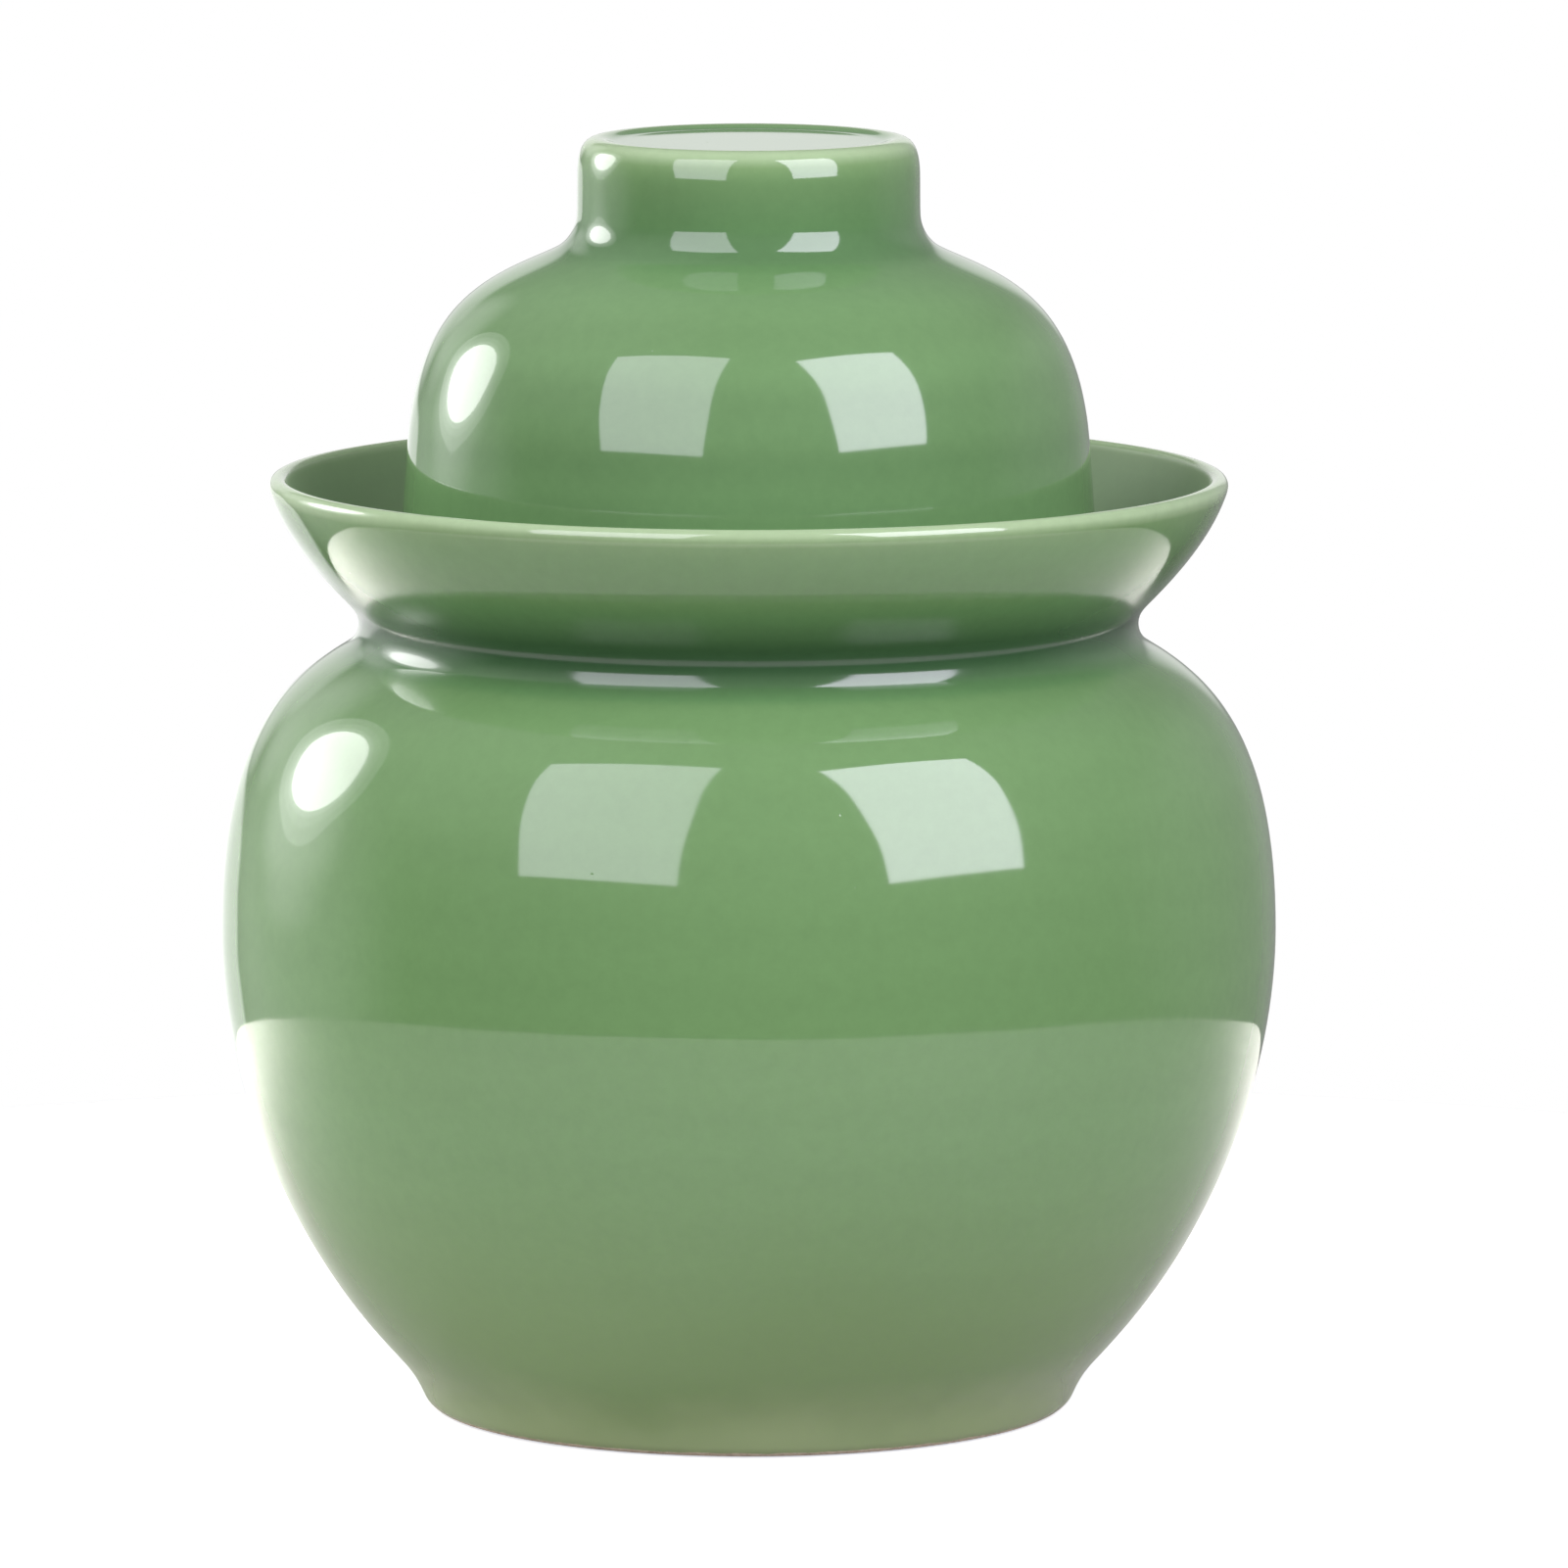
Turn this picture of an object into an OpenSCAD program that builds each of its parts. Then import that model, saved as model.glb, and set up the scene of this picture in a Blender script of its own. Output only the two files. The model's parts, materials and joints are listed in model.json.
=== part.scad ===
// Water seal pickle jar in glazed stoneware.
// The jar carries a flared water trough round its mouth. A flat inner lid closes the mouth,
// and a bowl shaped outer lid stands upside down in the trough, so that water seals its rim.
// Millimetres, +Z up, origin at the centre of the foot's resting plane.

/* [Foot] */
// Diameter of the flat ring that the jar rests on, at its outer edge
foot_d = 105; // [80:1:124]
// Width of that flat ring
foot_ring_w = 8; // [4:0.5:14]
// Rounding of the foot's outer bottom edge
foot_edge_r = 3.5; // [1:0.1:4.5]
// Slope of the foot's outside wall, degrees from level
foot_wall_a = 68; // [55:1:85]
// How far the foot widens from its flat ring up to the belly
foot_spread = 7.9; // [5.5:0.1:12]
// Height at which the foot runs into the belly
foot_h = 9.2; // [6:0.1:14]
// Depth of the recess under the foot
foot_recess = 4; // [2:0.5:6]
// Thickness of the jar's floor
floor_t = 6; // [4:0.5:10]

/* [Belly] */
// Widest diameter of the belly
belly_d = 180; // [150:1:240]
// Height of the widest part of the belly
belly_z = 82; // [60:1:110]
// Height from the widest part up to the waist under the trough
shoulder_h = 52.5; // [40:0.5:80]
// Thickness of the belly and shoulder wall
jar_wall = 5; // [3:0.5:8]
// Slope of the belly where it leaves the foot, degrees from level
belly_start_a = 46; // [35:1:60]
// Slope of the shoulder where it turns into the waist, degrees from level
shoulder_end_a = 150; // [135:1:160]

/* [Mouth] */
// Clear diameter of the mouth
mouth_d = 96; // [70:1:120]
// Thickness of the mouth ring
mouth_wall = 4.5; // [3.5:0.5:7]
// Height of the mouth ring's top above the lip of the trough
mouth_rise = 4.5; // [1:0.5:10]
// Rounding of the two edges of the mouth ring
mouth_edge_r = 1.2; // [0.5:0.1:1.6]

/* [Water trough] */
// Height of the collar, from the middle of the waist to the top of the lip
collar_h = 25.3; // [18:0.1:40]
// How far the lip stands out beyond the waist
collar_flare = 15.3; // [8:0.1:24]
// Thickness of the collar where it leaves the waist
collar_wall = 4.6; // [3.5:0.1:7]
// Slope of the collar where it leaves the waist, degrees from level
collar_start_a = 45; // [40:1:60]
// Slope of the collar under its lip, degrees from level
collar_end_a = 72; // [62:1:85]
// Radius of the rounded lip, half of the lip's thickness
lip_r = 1.7; // [1.2:0.1:2.3]
// Radius of the hollow of the waist
waist_r_in = 4.8; // [3:0.1:8]
// Height of the trough's floor above the middle of the waist
trough_floor_t = 4.5; // [3.5:0.5:7]
// Radius between the trough's floor and the mouth ring
trough_fillet_r = 2.5; // [1:0.1:3]

/* [Fit of the lids] */
// Gap between the mouth ring and the inside of the outer lid's rim
lid_gap = 3.6; // [3.2:0.1:8]
// Gap between the outside of the outer lid's rim and the foot of the collar
trough_gap = 1.4; // [0.8:0.1:8]
// Gap between the inner lid's locating ring and the mouth
ring_gap = 1.5; // [0.5:0.1:3]
// How far the edge of the inner lid stays inside the outside of the mouth ring
flange_margin = 0.9; // [0.5:0.1:1.5]

/* [Outer lid] */
// Height of the outer lid, from its rim to the top of its knob
lid_h = 78.3; // [62:0.1:110]
// Thickness of the outer lid's wall
lid_wall = 3.8; // [3:0.1:6]
// Rounding of the rim's edges
lid_edge_r = 1.2; // [0.5:0.1:1.4]
// Height of the straight skirt above the rim
skirt_h = 25.8; // [15:0.1:32]
// How far the skirt draws in over its height
skirt_taper = 1.85; // [0:0.05:2.2]
// Slope of the dome where it meets the knob, degrees from level
dome_end_a = 155; // [135:1:165]

/* [Knob of the outer lid] */
// Diameter of the knob
knob_d = 58.2; // [40:0.2:76]
// Height of the knob's straight side and its rounded edge
knob_h = 12.8; // [10:0.1:24]
// Radius between the knob and the dome
knob_fillet_r = 7.2; // [2:0.1:8]
// Width of the rounded top edge of the knob
knob_edge_w = 3.3; // [1.5:0.1:5]
// Height of the rounded top edge of the knob
knob_edge_h = 6.8; // [2:0.1:8]
// Depth of the shallow dish in the top of the knob
dish_depth = 0.8; // [0.5:0.1:4]
// Width of the slope from the knob's edge down to the floor of the dish
dish_slope_w = 4; // [3:0.5:10]
// Thickness of the knob's top
knob_top_t = 4.2; // [3:0.1:8]

/* [Inner lid] */
// Thickness of the inner lid at its edge
inner_lid_t = 4; // [3:0.5:7]
// Rise of the inner lid from its edge to its knob
inner_crown = 2.2; // [0:0.1:5]
// Depth of the locating ring below the mouth's top
ring_depth = 5; // [3:0.5:9]
// Thickness of the locating ring
ring_wall = 4; // [3:0.5:6]
// Widest diameter of the inner lid's knob
inner_knob_d = 21; // [14:0.5:28]
// Diameter of the neck under the inner lid's knob
inner_neck_d = 14; // [9:0.5:18]
// Height of the inner lid's knob above the lid
inner_knob_h = 13; // [9:0.5:18]

/* [Hidden] */
$fn = 180;

// Steps along a long curve and round a small arc
curve_steps = 16;
arc_steps = 6;
// Share of the chord that makes a quarter turn round
round_k = 0.39;
// Shares of the chord that set how full each long curve is, at its start and at its end
belly_k = [0.37, 0.29];
shoulder_k = [0.63, 0.22];
collar_k = [0.34, 0.33];
dome_k = [0.62, 0.26];
throat_k = [0.6, 0.3];
foot_k = [0.35, 0.35];

// Heights that the pieces share
waist_z = belly_z + shoulder_h;
trough_z = waist_z + trough_floor_t;
lip_z = waist_z + collar_h;
mouth_z = lip_z + mouth_rise;
floor_z = foot_recess + floor_t;

// Radii, worked outwards from the mouth
mouth_r = mouth_d / 2;
mouth_out_r = mouth_r + mouth_wall;
lid_rim_in_r = mouth_out_r + lid_gap;
lid_rim_r = lid_rim_in_r + lid_wall;
trough_floor_r = lid_rim_r + trough_gap;

// Waist and collar, set so that the collar springs from the trough's floor with its full wall
trough_corner = [trough_floor_r + 1, trough_z];
waist_c = [trough_corner[0] + (collar_wall + waist_r_in - trough_floor_t * cos(collar_start_a))
    / sin(collar_start_a), waist_z];
waist_arc = arc(waist_c, waist_r_in, shoulder_end_a + 90, collar_start_a + 90);
waist_bottom = waist_arc[0];
waist_top = waist_arc[len(waist_arc) - 1];
lip_c = [waist_c[0] - waist_r_in + collar_flare - lip_r, lip_z - lip_r];
lip_arc = arc(lip_c, lip_r, collar_end_a - 90, collar_end_a + 90);

// Foot and belly
foot_r = foot_d / 2;
foot_arc = arc([foot_r, foot_edge_r], foot_edge_r, -90, foot_wall_a - 90);
foot_top = [foot_r + foot_spread, foot_h];
belly_point = [belly_d / 2, belly_z];

// Unit vector at an angle from level
function heading(a) = [cos(a), sin(a)];

// Angle of the way from one point to another
function way(p, q) = atan2(q[1] - p[1], q[0] - p[0]);

// Points of an arc from angle a0 to a1
function arc(c, r, a0, a1, n = arc_steps) = [for (i = [0:n]) c + r * heading(a0 + (a1 - a0) * i / n)];

// Place and direction on a cubic curve with control points p
function cubic(p, t) = pow(1 - t, 3) * p[0] + 3 * pow(1 - t, 2) * t * p[1]
    + 3 * (1 - t) * t * t * p[2] + pow(t, 3) * p[3];
function cubic_way(p, t) = pow(1 - t, 2) * (p[1] - p[0]) + 2 * (1 - t) * t * (p[2] - p[1])
    + t * t * (p[3] - p[2]);

// Curve that leaves p0 at angle a0 and reaches p3 at angle a3. k holds the fullness at each end,
// and inset moves the curve to its left by a wall that may change from one end to the other.
function curve(p0, a0, p3, a3, k, inset = [0, 0], n = curve_steps) =
    let (chord = norm(p3 - p0))
    let (p = [p0, p0 + chord * k[0] * heading(a0), p3 - chord * k[1] * heading(a3), p3])
    [for (i = [0:n])
        let (t = i / n)
        let (d = cubic_way(p, t))
        cubic(p, t) + (inset[0] + (inset[1] - inset[0]) * t) * [-d[1], d[0]] / norm(d)];

// Rounded corner between two directions
function corner(p0, a0, p3, a3) = curve(p0, a0, p3, a3, [round_k, round_k], n = arc_steps);

function reversed(points) = [for (i = [len(points) - 1:-1:0]) points[i]];

// Outline without points that repeat the one after them
function outline(points) = [for (i = [0:len(points) - 1])
    if (norm(points[i] - points[(i + 1) % len(points)]) > 0.001) points[i]];

// The long curves of the jar's outside, or of its inside when they are given a wall
function belly_curve(wall) = curve(foot_top, belly_start_a, belly_point, 90, belly_k, [wall, wall]);
function shoulder_curve(wall) = curve(belly_point, 90, waist_bottom, shoulder_end_a, shoulder_k, [wall, wall]);
function collar_curve(wall) = curve(waist_top, collar_start_a, lip_arc[0], collar_end_a, collar_k, wall);

// Outside of the jar, from the foot up to the top of the lip
function jar_outside() = concat(
    foot_arc,
    curve(foot_arc[arc_steps], foot_wall_a, foot_top, belly_start_a, foot_k, n = arc_steps),
    belly_curve(0),
    shoulder_curve(0),
    waist_arc,
    collar_curve([0, 0]),
    lip_arc
);

// Water trough and mouth ring, from the lip in to the mouth
function trough_and_mouth() = let (inside = reversed(collar_curve([collar_wall, 2 * lip_r])))
    let (last = inside[len(inside) - 1])
    let (fillet_c = [mouth_out_r + trough_fillet_r, trough_z + trough_fillet_r])
    let (edge_z = mouth_z - mouth_edge_r)
    concat(
        inside,
        corner(last, collar_start_a + 180, [trough_floor_r, trough_z], 180),
        arc(fillet_c, trough_fillet_r, 270, 180),
        arc([mouth_out_r - mouth_edge_r, edge_z], mouth_edge_r, 0, 90),
        arc([mouth_r + mouth_edge_r, edge_z], mouth_edge_r, 90, 180)
    );

// Inside of the jar, from the throat down to the middle of the floor
function jar_inside() = let (shoulder = shoulder_curve(jar_wall))
    let (belly = [for (p = belly_curve(jar_wall)) if (p[1] > floor_z + 3) p])
    let (floor_edge = [belly[0][0] - 12, floor_z])
    let (throat = curve(shoulder[curve_steps], shoulder_end_a, [mouth_r, trough_z + 3], 90, throat_k))
    concat(
        reversed(throat),
        reversed(shoulder),
        reversed(belly),
        reversed(curve(floor_edge, 0, belly[0], way(belly[0], belly[1]), [0.4, 0.4], n = arc_steps)),
        [[0, floor_z]]
    );

// Recess under the foot, from the axis out to the flat ring
function foot_underside() = let (ring_in_r = foot_r - foot_ring_w)
    concat(
        [[0, foot_recess]],
        corner([ring_in_r - 4, foot_recess], 0, [ring_in_r - 1.2, 1.2], -75),
        corner([ring_in_r - 1.2, 1.2], -75, [ring_in_r, 0], 0)
    );

// The fired jar: foot, belly, shoulder, waist, water trough and mouth ring in one piece
module jar() {
    color([0.47, 0.61, 0.42])
    rotate_extrude()
    polygon(outline(concat(jar_outside(), trough_and_mouth(), jar_inside(), foot_underside())));
}

// Point of the outer lid's skirt at a height above its rim
function skirt_point(z) = [lid_rim_r - skirt_taper * z / skirt_h, z];
skirt_a = way(skirt_point(0), skirt_point(skirt_h));
knob_r = knob_d / 2;
knob_c = [knob_r + knob_fillet_r, lid_h - knob_h];
knob_root = knob_c + knob_fillet_r * heading(dome_end_a + 90);
dish_z = lid_h - dish_depth;
ceiling_z = dish_z - knob_top_t;

function dome_curve(wall) = curve(skirt_point(skirt_h), skirt_a, knob_root, dome_end_a, dome_k, [wall, wall]);

function lid_outside() = let (edge = [knob_r - knob_edge_w, lid_h])
    concat(
        corner([lid_rim_r - lid_edge_r, 0], 0, skirt_point(lid_edge_r), skirt_a),
        dome_curve(0),
        arc(knob_c, knob_fillet_r, dome_end_a + 90, 180),
        corner([knob_r, lid_h - knob_edge_h], 90, edge, 180),
        curve(edge, 180, [edge[0] - dish_slope_w, dish_z], 180, [0.5, 0.5], n = arc_steps),
        [[0, dish_z]]
    );

function lid_inside() = let (hollow_r = knob_r - lid_wall)
    let (rim_in = lid_rim_r - lid_wall / sin(skirt_a))
    concat(
        [[0, ceiling_z]],
        corner([hollow_r - 3, ceiling_z], 0, [hollow_r, ceiling_z - 3], -90),
        reversed(arc(knob_c, knob_fillet_r + lid_wall, dome_end_a + 90, 180)),
        reversed(dome_curve(lid_wall)),
        corner([rim_in, lid_edge_r], skirt_a + 180, [rim_in + lid_edge_r, 0], 0)
    );

// Outer lid: a bowl turned upside down, standing with its rim on the floor of the trough
module outer_lid() {
    color([0.49, 0.64, 0.44])
    translate([0, 0, trough_z])
    rotate_extrude()
    polygon(outline(concat(lid_outside(), lid_inside())));
}

// Inner lid: a low disc that rests on the mouth ring, with a locating ring below and a knob above
module inner_lid() {
    ring_r = mouth_r - ring_gap;
    flange_r = mouth_out_r - flange_margin;
    edge_r = inner_lid_t * 0.4;
    crown_z = inner_lid_t + inner_crown;
    neck_r = inner_neck_d / 2;
    grip_r = inner_knob_d / 2;
    grip_z = crown_z + inner_knob_h * 0.6;
    color([0.50, 0.63, 0.45])
    translate([0, 0, mouth_z])
    rotate_extrude()
    polygon(outline(concat(
        [[0, 0]],
        corner([ring_r - ring_wall - 2, 0], 0, [ring_r - ring_wall, -2], -90),
        corner([ring_r - ring_wall, 1 - ring_depth], -90, [ring_r - ring_wall + 1, -ring_depth], 0),
        corner([ring_r - 1, -ring_depth], 0, [ring_r, 1 - ring_depth], 90),
        [[ring_r, 0]],
        corner([flange_r - edge_r / 2, 0], 0, [flange_r, edge_r], 90),
        corner([flange_r, edge_r], 90, [flange_r - edge_r, inner_lid_t], 175),
        curve([flange_r - edge_r, inner_lid_t], 175, [neck_r + 3, crown_z], 180, [0.4, 0.4]),
        corner([neck_r + 3, crown_z], 180, [neck_r, crown_z + 3], 90),
        curve([neck_r, crown_z + 3], 90, [grip_r, grip_z], 90, [0.4, 0.4], n = arc_steps),
        curve([grip_r, grip_z], 90, [0, crown_z + inner_knob_h], 180, [0.34, 0.5])
    )));
}

jar();
inner_lid();
outer_lid();
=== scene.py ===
import json
import math
import bpy
from mathutils import Matrix, Vector

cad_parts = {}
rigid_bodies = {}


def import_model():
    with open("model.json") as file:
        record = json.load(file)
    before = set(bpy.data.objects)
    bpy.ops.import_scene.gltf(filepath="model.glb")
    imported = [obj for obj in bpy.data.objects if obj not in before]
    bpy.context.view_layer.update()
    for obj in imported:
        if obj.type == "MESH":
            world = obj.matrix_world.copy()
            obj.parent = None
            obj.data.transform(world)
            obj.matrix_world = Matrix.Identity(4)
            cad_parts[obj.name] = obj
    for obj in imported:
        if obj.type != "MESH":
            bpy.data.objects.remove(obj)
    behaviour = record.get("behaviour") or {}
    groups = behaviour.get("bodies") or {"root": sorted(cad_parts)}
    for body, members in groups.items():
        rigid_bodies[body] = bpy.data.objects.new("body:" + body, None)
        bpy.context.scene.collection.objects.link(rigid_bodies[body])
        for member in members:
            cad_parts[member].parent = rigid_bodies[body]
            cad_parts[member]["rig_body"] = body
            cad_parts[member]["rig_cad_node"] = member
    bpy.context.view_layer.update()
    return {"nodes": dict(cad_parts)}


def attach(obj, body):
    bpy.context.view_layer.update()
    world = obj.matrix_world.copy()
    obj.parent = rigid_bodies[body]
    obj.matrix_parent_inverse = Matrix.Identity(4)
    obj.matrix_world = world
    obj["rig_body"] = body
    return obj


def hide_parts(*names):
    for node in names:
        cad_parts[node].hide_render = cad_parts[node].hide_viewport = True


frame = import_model()
print("frame loaded:", ", ".join(sorted(frame["nodes"])))


# ---- camera

cameraView = {
    "lens": 325.73,  # mm
    "sensor": 36,  # mm
    "distance": 2.41725,  # m to the point that it looks at
    "elevation": 7.748,  # degrees above level
    "lookAt": (0, 0, 0.109),
    "shift": (0.0226, -0.0088),  # the jar stands left of and above the middle of the picture
    "clip": (0.05, 50),  # m
}


def makeCamera():
    tilt = math.radians(cameraView["elevation"])
    back = Vector((0, -math.cos(tilt), math.sin(tilt)))
    bpy.ops.object.camera_add(
        location=Vector(cameraView["lookAt"]) + back * cameraView["distance"],
        rotation=(math.pi / 2 - tilt, 0, 0),
    )
    camera = bpy.context.object
    camera.name = "photoCamera"
    camera.data.lens = cameraView["lens"]
    camera.data.sensor_width = cameraView["sensor"]
    camera.data.shift_x, camera.data.shift_y = cameraView["shift"]
    camera.data.clip_start, camera.data.clip_end = cameraView["clip"]
    bpy.context.scene.camera = camera


makeCamera()
print("camera placed")


# ---- turning a piece from its own outline

near = {"doubles": 0.000002, "seam": 1e-6, "axis": 1e-5, "point": 1e-7}  # m


def deselectAll():
    if bpy.context.object and bpy.context.object.mode != "OBJECT":
        bpy.ops.object.mode_set(mode="OBJECT")
    bpy.ops.object.select_all(action="DESELECT")


def activate(piece):
    deselectAll()
    piece.select_set(True)
    bpy.context.view_layer.objects.active = piece


def selectPoints(piece, wanted):
    bpy.ops.object.mode_set(mode="EDIT")
    bpy.ops.mesh.select_mode(type="VERT")
    bpy.ops.mesh.select_all(action="DESELECT")
    bpy.ops.object.mode_set(mode="OBJECT")
    for vertex in piece.data.vertices:
        vertex.select = wanted(vertex)
    bpy.ops.object.mode_set(mode="EDIT")


def outlineOrder(mesh):
    # point numbers along the open outline, from its lower end
    links = {vertex.index: [] for vertex in mesh.vertices}
    for edge in mesh.edges:
        first, second = edge.vertices
        links[first].append(second)
        links[second].append(first)
    ends = [index for index in links if len(links[index]) == 1]
    order = [min(ends, key=lambda index: mesh.vertices[index].co.z)]
    while len(order) < len(links):
        order.append(next(i for i in links[order[-1]] if i not in order[-2:]))
    return order


def extendToAxis(piece, steps):
    # a flat disc has no point on the axis, so the open end of the outline is drawn in to it
    mesh = piece.data
    used = [index for edge in mesh.edges for index in edge.vertices]
    ends = [
        vertex.co.copy() for vertex in mesh.vertices
        if used.count(vertex.index) == 1 and vertex.co.x > near["axis"]
    ]
    for end in ends:
        selectPoints(piece, lambda vertex: (vertex.co - end).length < near["point"])
        for _ in range(steps):
            bpy.ops.mesh.extrude_region_move(
                TRANSFORM_OT_translate={"value": (-end.x / steps, 0, 0)}
            )
        bpy.ops.object.mode_set(mode="OBJECT")


def bendAt(place, reach, along, turns):
    # turn per millimetre of outline round a place, evened out over the reach
    total = sum(t * math.exp(-0.5 * ((place - s) / reach) ** 2) for s, t in zip(along, turns))
    return total / (reach * math.sqrt(2 * math.pi))


def troughPoints(points, trough):
    # places in the outline past the lip, down the inner wall and over the trough's floor
    above = [i for i, point in enumerate(points) if point.z > trough["lipAbove"]]
    lip = max(above, key=lambda i: points[i].x)
    return [
        i for i in range(lip + trough["pastLip"], len(points))
        if points[i].x > trough["outside"] and points[i].z > trough["floorAbove"]
    ]


def markGlaze(piece, turning):
    # glazeRun: above zero on an outer edge, where glaze runs thin, and below zero in a hollow
    # the pool layer grows over the wall above a hollow, where the glaze lies thick; it also paints
    # shade there, as the shade that falls under the collar
    # inTrough: one wherever the sealing water stands
    mesh = piece.data
    order = outlineOrder(mesh)
    points = [mesh.vertices[index].co * 1000 for index in order]  # mm
    along, turns = [0.0], [0.0]
    for before, after in zip(points, points[1:]):
        along.append(along[-1] + (after - before).length)
    for before, here, after in zip(points, points[1:], points[2:]):
        first, second = here - before, after - here
        cross = first.x * second.z - first.z * second.x
        turns.append(math.atan2(cross, first.dot(second)))
    turns.append(0.0)

    layers = ("glazeRun", "glazePoolAndShade", "inTrough")
    for layer in layers:
        mesh.attributes.new(layer, "FLOAT", "POINT")
    run, poolAndShade, wet = (mesh.attributes[layer].data for layer in layers)
    for index, place in zip(order, along):
        run[index].value = bendAt(place, turning["glazeReach"], along, turns)
    if turning["poolAndShade"]:
        for index, place in zip(order, along):
            bend = bendAt(place - turning["poolAndShade"]["rise"], turning["poolAndShade"]["reach"], along, turns)
            poolAndShade[index].value = turning["poolAndShade"]["amount"] * max(-bend, 0.0)
    if turning["trough"]:
        for number in troughPoints(points, turning["trough"]):
            wet[order[number]].value = 1.0


def turnedPiece(nodeName, pieceName, turning):
    activate(frame["nodes"][nodeName])
    bpy.ops.object.duplicate()
    piece = bpy.context.object
    piece.name = piece.data.name = pieceName
    del piece["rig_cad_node"], piece["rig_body"]  # the copy is a new piece, not the node
    piece.data.materials.clear()
    bpy.ops.object.mode_set(mode="EDIT")
    bpy.ops.mesh.select_all(action="SELECT")
    bpy.ops.mesh.remove_doubles(threshold=near["doubles"])
    bpy.ops.mesh.customdata_custom_splitnormals_clear()
    selectPoints(
        piece, lambda vertex: abs(vertex.co.y) > near["seam"] or vertex.co.x < -near["seam"]
    )
    bpy.ops.mesh.delete(type="VERT")  # only the outline at the seam stays
    bpy.ops.object.mode_set(mode="OBJECT")
    extendToAxis(piece, turning["discRings"])
    markGlaze(piece, turning)
    bpy.ops.object.mode_set(mode="EDIT")
    bpy.ops.mesh.select_all(action="SELECT")
    bpy.ops.mesh.spin(
        steps=turning["steps"], angle=2 * math.pi, center=(0, 0, 0), axis=(0, 0, 1)
    )
    bpy.ops.mesh.select_all(action="SELECT")
    bpy.ops.mesh.remove_doubles(threshold=near["doubles"])
    bpy.ops.mesh.normals_make_consistent(inside=False)
    bpy.ops.object.mode_set(mode="OBJECT")
    smooth = piece.modifiers.new("smooth", "SUBSURF")
    smooth.levels = smooth.render_levels = turning["smoothing"]
    bpy.ops.object.modifier_apply(modifier="smooth")
    bpy.ops.object.shade_smooth()
    for layer in list(piece.data.uv_layers):
        piece.data.uv_layers.remove(layer)
    print(pieceName, "turned:", len(piece.data.polygons), "faces")
    return piece


# ---- nodes, each placed at x and y in its tree

midNoise = (0.3, 0.7)  # most of a noise texture's values lie between these


def addNode(tree, kind, x, y, **settings):
    node = tree.nodes.new(kind)
    node.location = (x, y)
    for name, value in settings.items():
        setattr(node, name, value)
    return node


def fill(tree, socket, value):
    # a number or a colour is set on the socket, anything else is linked to it
    if isinstance(value, (int, float)):
        socket.default_value = value
    elif isinstance(value, tuple):
        socket.default_value = (*value, 1)
    else:
        tree.links.new(value, socket)


def rampOf(tree, x, y, value, stops):
    ramp = addNode(tree, "ShaderNodeValToRGB", x, y)
    elements = ramp.color_ramp.elements
    while len(elements) < len(stops):
        elements.new(0.5)
    for element, (place, color) in zip(elements, stops):
        element.position = place
        element.color = (*color, 1)
    tree.links.new(value, ramp.inputs[0])
    return ramp.outputs[0]


def mixOf(tree, x, y, factor, first, second, blend="MIX"):
    mix = addNode(tree, "ShaderNodeMix", x, y, data_type="RGBA", blend_type=blend)
    fill(tree, mix.inputs[0], factor)
    fill(tree, mix.inputs[6], first)
    fill(tree, mix.inputs[7], second)
    return mix.outputs[2]


def tintOf(tree, x, y, color, value, span, amount):
    # darkens and lightens a colour a little, as the value goes over its span
    low, high = span
    greys = rampOf(tree, x - 300, y + 300, value, [
        (low, (0.5 - amount,) * 3), (high, (0.5 + amount,) * 3)
    ])
    return mixOf(tree, x, y, 0.5, color, greys, "OVERLAY")


def mathOf(tree, x, y, operation, *values):
    node = addNode(tree, "ShaderNodeMath", x, y, operation=operation)
    for socket, value in zip(node.inputs, values):
        fill(tree, socket, value)
    return node.outputs[0]


def rangeOf(tree, x, y, value, low, high, toLow=0.0, toHigh=1.0, soft=False):
    node = addNode(tree, "ShaderNodeMapRange", x, y)
    if soft:
        node.interpolation_type = "SMOOTHSTEP"
    tree.links.new(value, node.inputs[0])
    for socket, number in zip(node.inputs[1:5], (low, high, toLow, toHigh)):
        socket.default_value = number
    return node.outputs[0]


def noiseOf(tree, x, y, place, scale, detail=2.0, roughness=0.5):
    noise = addNode(tree, "ShaderNodeTexNoise", x, y)
    tree.links.new(place, noise.inputs["Vector"])
    noise.inputs["Scale"].default_value = scale
    noise.inputs["Detail"].default_value = detail
    noise.inputs["Roughness"].default_value = roughness
    return noise.outputs["Fac"]


def ringsOf(tree, x, y, place, scale, waver):
    rings = addNode(tree, "ShaderNodeTexWave", x, y, wave_type="BANDS", bands_direction="Z")
    tree.links.new(place, rings.inputs["Vector"])
    rings.inputs["Scale"].default_value = scale
    rings.inputs["Distortion"].default_value = waver
    rings.inputs["Detail"].default_value = 2
    rings.inputs["Detail Scale"].default_value = 0.6
    return rings.outputs["Fac"]


def bumpOf(tree, x, y, height, strength, distance, under=None):
    bump = addNode(tree, "ShaderNodeBump", x, y)
    bump.inputs["Strength"].default_value = strength
    bump.inputs["Distance"].default_value = distance
    tree.links.new(height, bump.inputs["Height"])
    if under:
        tree.links.new(under, bump.inputs["Normal"])
    return bump.outputs["Normal"]


# ---- glaze and bare clay: sizes in metres, and scales in pattern cells to the metre

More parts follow.
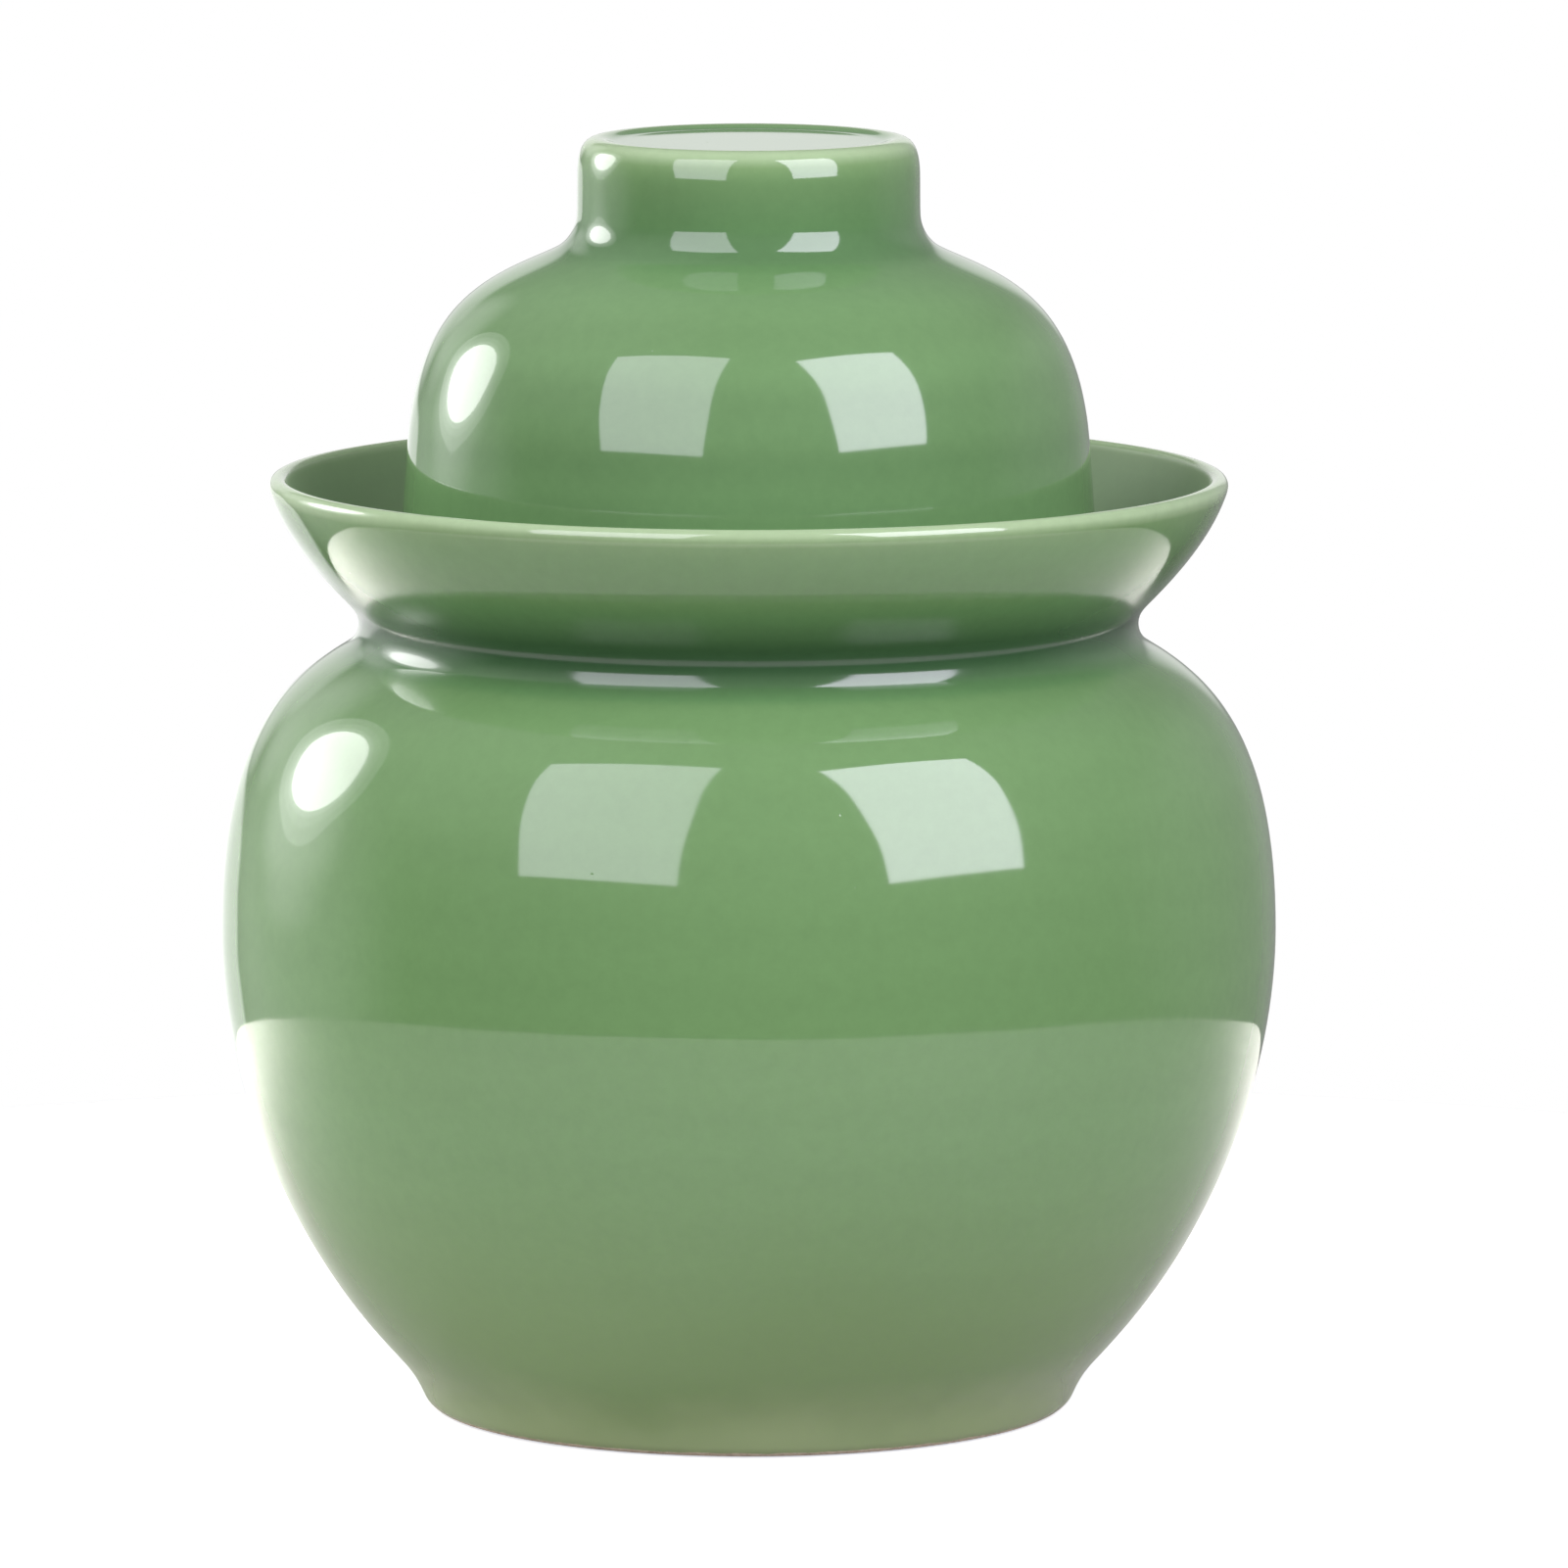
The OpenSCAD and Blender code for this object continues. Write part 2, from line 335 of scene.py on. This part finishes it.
celadon = {
    # the darkest tone serves pooled glaze and also painted shade in the hollows and under the
    # collar
    "pooledAndShaded": (0.034, 0.090, 0.034),
    "deep": (0.096, 0.205, 0.073),
    "plain": (0.127, 0.245, 0.090),
    "light": (0.155, 0.270, 0.105),
    "thin": (0.31, 0.43, 0.23),
    "bends": (-0.30, -0.08, 0.0, 0.22, 0.42),  # where each of those tones lies, by glazeRun
    "driftScale": 11,
    "driftAmount": 0.008,  # in the same measure as the bends
    "grainScale": 420,
    "grainTone": 0.035,
    "ringScale": 30,
    "ringWaver": 1.6,
    "ringTone": 0.01,
    "ringDepth": 0.00003,
    "lowFade": (-0.002, 0.055),  # heights between which the deeper tone low on the belly ends
    "lowAmount": 0.0,
    "lowColor": (0.117, 0.196, 0.055),
    "footFade": (-0.005, 0.009),  # and those for the thin brownish end of the glaze
    "footAmount": 0.0,
    "footColor": (0.26, 0.335, 0.16),
    "footScale": 35,
    "footWander": 0.012,
    "hazeAmount": (0.216, 0.432),  # dried water left in the trough, least and most
    "hazeColor": (0.31, 0.40, 0.25),
    "bareBelow": 0.0,
    "roughness": (0.04, 0.075),
    "glossScale": 28,
    "poolAndShadeDulls": 0.8,
    "waterDulls": 0.65,
    "creaseDulls": 0.10,
    "crease": (-0.34, -0.14),  # the bends over which a crease gets its gloss back
    "ior": 1.6,
    "swellScale": 24,
    "swellDepth": 0.00012,
    "pinScale": 130,
    "pinWidth": 0.045,  # share of a pattern cell
    "pinDepth": 0.0001,
    "pinStrength": 0.25,
}

bareClay = {
    "tones": [(0.3, (0.36, 0.28, 0.2)), (0.5, (0.56, 0.47, 0.36)), (0.72, (0.68, 0.6, 0.49))],
    "grainScale": 900,
    "roughness": 0.78,
    "tooth": 0.0004,
    "toothStrength": 0.8,
    "edgeScale": 220,
    "edgeWander": 0.0006,
    "edgeWidth": 0.00015,
}


def glazeMaterial(name, glaze):
    material = bpy.data.materials.new(name)
    material.use_nodes = True
    tree = material.node_tree
    tree.nodes.clear()
    output = addNode(tree, "ShaderNodeOutputMaterial", 1400, 0)
    shader = addNode(tree, "ShaderNodeBsdfPrincipled", 1100, 0)
    tree.links.new(shader.outputs[0], output.inputs[0])
    place = addNode(tree, "ShaderNodeTexCoord", -1400, 0).outputs["Object"]
    split = addNode(tree, "ShaderNodeSeparateXYZ", -1200, -300)
    tree.links.new(place, split.inputs[0])
    height = split.outputs["Z"]
    run, poolAndShade, trough = (
        addNode(tree, "ShaderNodeAttribute", -1200, y, attribute_name=layer).outputs["Fac"]
        for layer, y in (("glazeRun", 300), ("glazePoolAndShade", 150), ("inTrough", 0))
    )

    # body colour: pooled in hollows and darkened by painted shade on the wall above a hollow, as
    # under the collar, thin over edges, with slow drifts of tone
    drift = noiseOf(tree, -1200, 550, place, glaze["driftScale"], detail=3)
    sway = rangeOf(tree, -1000, 500, drift, *midNoise, -glaze["driftAmount"], glaze["driftAmount"])
    thinnessAndShade = mathOf(tree, -1000, 300, "ADD", run, sway)
    # taking off the pool darkens the tone, as pooled glaze and as painted shade
    thinnessAndShade = mathOf(tree, -900, 300, "SUBTRACT", thinnessAndShade, poolAndShade)
    deepest, thinnest = glaze["bends"][0], glaze["bends"][-1]
    tones = [
        ((bend - deepest) / (thinnest - deepest), glaze[tone])
        for bend, tone in zip(glaze["bends"], ("pooledAndShaded", "deep", "plain", "light", "thin"))
    ]
    color = rampOf(tree, -650, 300, rangeOf(tree, -800, 300, thinnessAndShade, deepest, thinnest), tones)

    # a fine grain, and rings left by turning
    grain = noiseOf(tree, -900, 750, place, glaze["grainScale"], detail=4, roughness=0.65)
    color = tintOf(tree, -300, 350, color, grain, midNoise, glaze["grainTone"])
    rings = ringsOf(tree, -900, 950, place, glaze["ringScale"], glaze["ringWaver"])
    color = tintOf(tree, -250, 500, color, rings, (0.0, 1.0), glaze["ringTone"])

    # low on the belly the colour turns darker and more olive, and at its end on the foot the glaze
    # is thinner and a little brown
    wander = noiseOf(tree, -900, -200, place, glaze["footScale"], detail=3)
    wander = mathOf(tree, -800, -200, "MULTIPLY", wander, glaze["footWander"])
    footHeight = mathOf(tree, -700, -250, "SUBTRACT", height, wander)
    low = rangeOf(
        tree, -500, -150, footHeight, *glaze["lowFade"], glaze["lowAmount"], 0.0, soft=True
    )
    color = mixOf(tree, -200, 300, low, color, glaze["lowColor"])
    foot = rangeOf(
        tree, -500, -350, footHeight, *glaze["footFade"], glaze["footAmount"], 0.0, soft=True
    )
    color = mixOf(tree, 0, 300, foot, color, glaze["footColor"])

    # a patchy haze in the trough
    haze = rangeOf(tree, -200, 100, drift, *midNoise, *glaze["hazeAmount"])
    haze = mathOf(tree, 0, 150, "MULTIPLY", trough, haze)
    color = mixOf(tree, 100, 300, haze, color, glaze["hazeColor"])

    # bare clay where the piece stood in the kiln, below an edge that wanders
    wander = noiseOf(tree, -1000, -500, place, bareClay["edgeScale"], detail=3)
    wander = mathOf(tree, -800, -450, "MULTIPLY", wander, bareClay["edgeWander"])
    edge = mathOf(tree, -700, -500, "SUBTRACT", height, wander)
    bareEnd = glaze["bareBelow"] + bareClay["edgeWidth"]
    bare = rangeOf(tree, -500, -500, edge, glaze["bareBelow"], bareEnd, 1.0, 0.0)
    clayGrain = noiseOf(tree, -700, -700, place, bareClay["grainScale"], detail=5, roughness=0.7)
    clay = rampOf(tree, -400, -700, clayGrain, bareClay["tones"])
    color = mixOf(tree, 200, 250, bare, color, clay)
    tree.links.new(color, shader.inputs["Base Color"])

    # gloss: softer in places, in hollows, in the crease and where water stood; clay is dull
    patches = noiseOf(tree, -600, -380, place, glaze["glossScale"], detail=4)
    gloss = rangeOf(tree, -300, -350, patches, *midNoise, *glaze["roughness"])
    pooledAndShaded = mathOf(tree, -200, -450, "MULTIPLY", poolAndShade, glaze["poolAndShadeDulls"])
    gloss = mathOf(tree, 0, -400, "ADD", gloss, pooledAndShaded)
    watered = mathOf(tree, 0, -500, "MULTIPLY", trough, glaze["waterDulls"])
    gloss = mathOf(tree, 200, -400, "ADD", gloss, watered)
    creased = rangeOf(tree, 200, -550, run, *glaze["crease"], glaze["creaseDulls"], 0.0)
    gloss = mathOf(tree, 400, -400, "ADD", gloss, creased)
    rough = addNode(tree, "ShaderNodeMix", 500, -200, data_type="FLOAT")
    fill(tree, rough.inputs[0], bare)
    fill(tree, rough.inputs[2], gloss)
    fill(tree, rough.inputs[3], bareClay["roughness"])
    tree.links.new(rough.outputs[0], shader.inputs["Roughness"])
    shader.inputs["IOR"].default_value = glaze["ior"]

    # relief: a slow swell in the glaze, the turning rings, pinholes and the tooth of the clay
    swell = noiseOf(tree, -300, -1250, place, glaze["swellScale"], detail=1.5)
    cells = addNode(tree, "ShaderNodeTexVoronoi", -600, -1500, feature="F1")
    tree.links.new(place, cells.inputs["Vector"])
    cells.inputs["Scale"].default_value = glaze["pinScale"]
    pins = rangeOf(tree, -300, -1500, cells.outputs["Distance"], 0.0, glaze["pinWidth"], soft=True)
    tooth = mathOf(tree, 300, -700, "MULTIPLY", clayGrain, bare)
    normal = bumpOf(tree, 0, -900, swell, 1.0, glaze["swellDepth"])
    normal = bumpOf(tree, 200, -950, rings, 1.0, glaze["ringDepth"], normal)
    normal = bumpOf(tree, 400, -1000, pins, glaze["pinStrength"], glaze["pinDepth"], normal)
    normal = bumpOf(
        tree, 600, -1050, tooth, bareClay["toothStrength"], bareClay["tooth"], normal
    )
    tree.links.new(normal, shader.inputs["Normal"])
    return material


# ---- jar

jarPiece = {
    "turning": {
        "steps": 96, "discRings": 6, "smoothing": 1,
        "glazeReach": 2.0,  # mm
        # the pool darkens the wall above the hollow: partly pooled glaze, partly painted shade
        # under the collar
        "poolAndShade": {"amount": 1.5, "reach": 4.5, "rise": 7.0},  # mm above the hollow
        "trough": {"lipAbove": 150, "pastLip": 5, "outside": 53.5, "floorAbove": 130},  # mm
    },
    "glaze": {**celadon, "lowAmount": 0.85, "footAmount": 0.8, "bareBelow": 0.0005},
}

jar = turnedPiece("jar", "stonewareJar", jarPiece["turning"])
jar.data.materials.append(glazeMaterial("celadonJar", jarPiece["glaze"]))
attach(jar, "jar")
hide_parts("jar")


# ---- outer lid

outerLidPiece = {
    "turning": {
        "steps": 96, "discRings": 5, "smoothing": 1,
        "glazeReach": 1.3, "poolAndShade": None, "trough": None,
    },
    "glaze": {
        **celadon,
        "plain": (0.114, 0.229, 0.085),
        "bends": (-0.30, -0.08, 0.0, 0.16, 0.30),
        "ringTone": 0.03,
        "bareBelow": 0.1398,
    },
}

outerLid = turnedPiece("outer_lid", "stonewareOuterLid", outerLidPiece["turning"])
outerLid.data.materials.append(glazeMaterial("celadonOuterLid", outerLidPiece["glaze"]))
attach(outerLid, "outer_lid")
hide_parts("outer_lid")


# ---- inner lid

innerLidPiece = {
    "turning": {
        "steps": 80, "discRings": 5, "smoothing": 1,
        "glazeReach": 1.3, "poolAndShade": None, "trough": None,
    },
    "glaze": {**celadon, "bareBelow": 0.1646},
}

innerLid = turnedPiece("inner_lid", "stonewareInnerLid", innerLidPiece["turning"])
innerLid.data.materials.append(glazeMaterial("celadonInnerLid", innerLidPiece["glaze"]))
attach(innerLid, "inner_lid")
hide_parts("inner_lid")


# ---- floor: a round pale table, whose edge shows as the line across the belly

tableTop = {
    "radius": 0.35,
    "thickness": 0.02,
    "gap": 0.0001,  # under the foot
    "edge": 0.003,
    "color": (0.75, 0.735, 0.68),
    "shade": 0.985,
    "shadeScale": 14,
    "roughness": 0.6,
    "whitening": 0.7,  # only as the camera sees it, so that it meets the white of the room
    "whiteningColor": (0.92, 0.95, 1, 1),
}


def makeTable():
    deselectAll()
    bpy.ops.mesh.primitive_cylinder_add(
        vertices=160, radius=tableTop["radius"], depth=tableTop["thickness"],
        location=(0, 0, -tableTop["thickness"] / 2 - tableTop["gap"]),
    )
    table = bpy.context.object
    table.name = "paleTable"
    bpy.ops.object.transform_apply(location=True, rotation=True, scale=True)
    bevel = table.modifiers.new("edge", "BEVEL")
    bevel.width, bevel.segments = tableTop["edge"], 4
    bpy.ops.object.modifier_apply(modifier="edge")
    bpy.ops.object.shade_smooth_by_angle(angle=math.radians(40))
    material = bpy.data.materials.new("palePlaster")
    material.use_nodes = True
    tree = material.node_tree
    shader = tree.nodes["Principled BSDF"]
    place = addNode(tree, "ShaderNodeTexCoord", -900, 0).outputs["Object"]
    patches = noiseOf(tree, -700, 0, place, tableTop["shadeScale"], detail=4)
    shaded = tuple(channel * tableTop["shade"] for channel in tableTop["color"])
    tone = rampOf(tree, -400, 0, patches, [(0.35, shaded), (0.65, tableTop["color"])])
    tree.links.new(tone, shader.inputs["Base Color"])
    shader.inputs["Roughness"].default_value = tableTop["roughness"]
    shader.inputs["Emission Color"].default_value = tableTop["whiteningColor"]
    seen = addNode(tree, "ShaderNodeLightPath", -400, -300).outputs["Is Camera Ray"]
    whitening = mathOf(tree, -200, -300, "MULTIPLY", seen, tableTop["whitening"])
    tree.links.new(whitening, shader.inputs["Emission Strength"])
    table.data.materials.append(material)


makeTable()
print("table made")


# ---- windows: two in front, whose reflections stand on belly, dome and knob

windows = {
    "leftWindow": {
        "corners": (  # top left, top right, bottom right and bottom left
            (-0.505, -0.238, 0.868), (-0.070, -0.402, 0.826),
            (-0.184, -0.686, 0.251), (-0.618, -0.523, 0.294),
        ),
        "radiance": 4.0,
        "color": (1.0, 0.94, 1.1),
    },
    "rightWindow": {
        "corners": (
            (0.204, -0.460, 0.912), (0.581, -0.170, 0.926),
            (0.791, -0.437, 0.306), (0.415, -0.726, 0.292),
        ),
        "radiance": 7.0,
        "color": (1.0, 0.95, 1.12),
    },
}


def makeWindow(name, window):
    topLeft, topRight, bottomRight, bottomLeft = (Vector(corner) for corner in window["corners"])
    middle = (topLeft + topRight + bottomRight + bottomLeft) / 4
    across = (topRight - topLeft + bottomRight - bottomLeft) / 2
    upward = (topLeft - bottomLeft + topRight - bottomRight) / 2
    away = across.cross(upward).normalized()
    side = upward.cross(away).normalized()
    turn = Matrix((side, away.cross(side), away)).transposed()
    bpy.ops.object.light_add(type="AREA")
    lamp = bpy.context.object
    lamp.name = name
    lamp.matrix_world = Matrix.Translation(middle) @ turn.to_4x4()
    lamp.data.shape = "RECTANGLE"
    lamp.data.size, lamp.data.size_y = across.length, upward.length
    lamp.data.color = window["color"]
    lamp.data.energy = window["radiance"] * math.pi * across.length * upward.length
    lamp.visible_camera = False


# ---- lamps: a large one at the left, and small ones that light the table and the foot

softLamps = {  # each is a nest of round lamps, so that its edge is soft: width and radiance
    "sideLamp": {
        "at": (-0.690, 0.362, 0.392), "aim": (-0.05, -0.03, 0.14), "spread": 180,
        "mirrored": True, "nest": [(0.34, 6.5), (0.38, 1.8), (0.43, 1.2), (0.50, 0.8)],
    },
    "leftTableLamp": {
        "at": (-0.25, 0.22, 0.34), "aim": (-0.24, 0.22, 0), "spread": 60,
        "mirrored": False, "nest": [(0.2, 7.0)],
    },
    "rightTableLamp": {
        "at": (0.23, 0.25, 0.34), "aim": (0.22, 0.25, 0), "spread": 55,
        "mirrored": False, "nest": [(0.2, 3.0)],
    },
    "lowLeftLamp": {
        "at": (-0.40, -0.30, 0.10), "aim": (-0.04, -0.05, 0.02), "spread": 40,
        "mirrored": False, "nest": [(0.15, 0.3)],
    },
}


def makeSoftLamp(name, settings):
    away = Vector(settings["at"]) - Vector(settings["aim"])
    turn = away.to_track_quat("Z", "Y").to_euler()
    for width, radiance in settings["nest"]:
        bpy.ops.object.light_add(type="AREA", location=settings["at"], rotation=turn)
        lamp = bpy.context.object
        lamp.name = name
        lamp.data.shape = "DISK"
        lamp.data.size = width
        lamp.data.spread = math.radians(settings["spread"])
        lamp.data.energy = radiance * math.pi * math.pi / 4 * width ** 2
        lamp.visible_camera = False
        lamp.visible_glossy = settings["mirrored"]


# ---- room: white to the camera, and to the glaze a dim room with soft bright cards in it

roomLight = {
    "levels": [  # by height of the ray, from straight down to straight up
        (-1.0, 0.08), (-0.12, 0.07), (0.05, 0.11), (0.35, 0.25), (0.7, 0.27), (1.0, 0.22),
    ],
    "seenColor": (1.0, 1.0, 1.0),
}

cards = {  # in degrees: azimuth (0 in front, 90 at the right) and elevation, width and height
    "lampTail": {"at": (-121, 9), "size": (38, 32), "corner": 2, "soft": (0, 1.2), "level": 1.2},
    "sideGlow": {"at": (-120, -5), "size": (76, 66), "corner": 2, "soft": (0, 1.2), "level": 0.85},
    "leftBack": {"at": (-148, 17), "size": (26, 30), "corner": 2, "soft": (0, 1.2), "level": 0.7},
    "rightGlow": {"at": (128, 0), "size": (84, 60), "corner": 2, "soft": (0.1, 1.2), "level": 0.30},
    "backdrop": {"at": (185, 8), "size": (38, 20), "corner": 4, "soft": (0.2, 1.4), "level": 0.62},
    "backHaze": {"at": (180, -2), "size": (70, 52), "corner": 2, "soft": (0, 1.2), "level": 0.25},
    "leftStrip": {"at": (-163, -12), "size": (27, 20), "corner": 5, "soft": (0.6, 1.3), "level": 1},
    "leftFill": {"at": (-100, 48), "size": (110, 80), "corner": 2, "soft": (0, 1.2), "level": 0.3},
}


def direction(azimuth, elevation):
    a, e = math.radians(azimuth), math.radians(elevation)
    return Vector((math.sin(a) * math.cos(e), -math.cos(a) * math.cos(e), math.sin(e)))


def dotOf(tree, x, y, vector, fixed):
    node = addNode(tree, "ShaderNodeVectorMath", x, y, operation="DOT_PRODUCT")
    tree.links.new(vector, node.inputs[0])
    node.inputs[1].default_value = tuple(fixed)
    return node.outputs["Value"]


def offMiddle(tree, x, y, ray, axis, size, corner):
    # how far a ray passes from a card's middle, in half widths; a high corner squares the card
    half = math.sin(math.radians(size / 2))
    off = mathOf(tree, x + 100, y, "ABSOLUTE", dotOf(tree, x, y, ray, axis))
    off = mathOf(tree, x + 200, y, "DIVIDE", off, half)
    return mathOf(tree, x + 400, y, "POWER", off, corner)


def cardGlow(tree, x, y, ray, card):
    at = direction(*card["at"])
    side = Vector((0, 0, 1)).cross(at).normalized()
    up = at.cross(side)
    width, height = card["size"]
    offSide = offMiddle(tree, x, y, ray, side, width, card["corner"])
    offUp = offMiddle(tree, x, y - 50, ray, up, height, card["corner"])
    off = mathOf(tree, x + 500, y, "ADD", offSide, offUp)
    glow = rangeOf(tree, x + 600, y, off, *card["soft"], card["level"], 0.0, soft=True)
    facing = dotOf(tree, x, y - 100, ray, at)
    facing = mathOf(tree, x + 500, y - 100, "GREATER_THAN", facing, 0.0)
    return mathOf(tree, x + 700, y, "MULTIPLY", glow, facing)


def makeRoom():
    world = bpy.data.worlds.new("studioRoom")
    bpy.context.scene.world = world
    world.use_nodes = True
    tree = world.node_tree
    tree.nodes.clear()
    ray = addNode(tree, "ShaderNodeTexCoord", -1400, 0).outputs["Generated"]
    height = rangeOf(tree, -1000, 200, dotOf(tree, -1200, 200, ray, (0, 0, 1)), -1, 1)
    levels = [((z + 1) / 2, (level,) * 3) for z, level in roomLight["levels"]]
    total = rampOf(tree, -800, 200, height, levels)
    for number, card in enumerate(cards.values()):
        glow = cardGlow(tree, -1200, -150 - 300 * number, ray, card)
        total = mathOf(tree, -300 + 100 * number, 0, "ADD", total, glow)
    seen = addNode(tree, "ShaderNodeLightPath", 100, 300).outputs["Is Camera Ray"]
    background = addNode(tree, "ShaderNodeBackground", 500, 0)
    room = mixOf(tree, 300, 0, seen, total, roomLight["seenColor"])
    tree.links.new(room, background.inputs["Color"])
    output = addNode(tree, "ShaderNodeOutputWorld", 700, 0)
    tree.links.new(background.outputs[0], output.inputs[0])


for windowName, window in windows.items():
    makeWindow(windowName, window)
for lampName, settings in softLamps.items():
    makeSoftLamp(lampName, settings)
makeRoom()
bpy.context.scene.view_settings.view_transform = "Standard"
print("lights and room made")
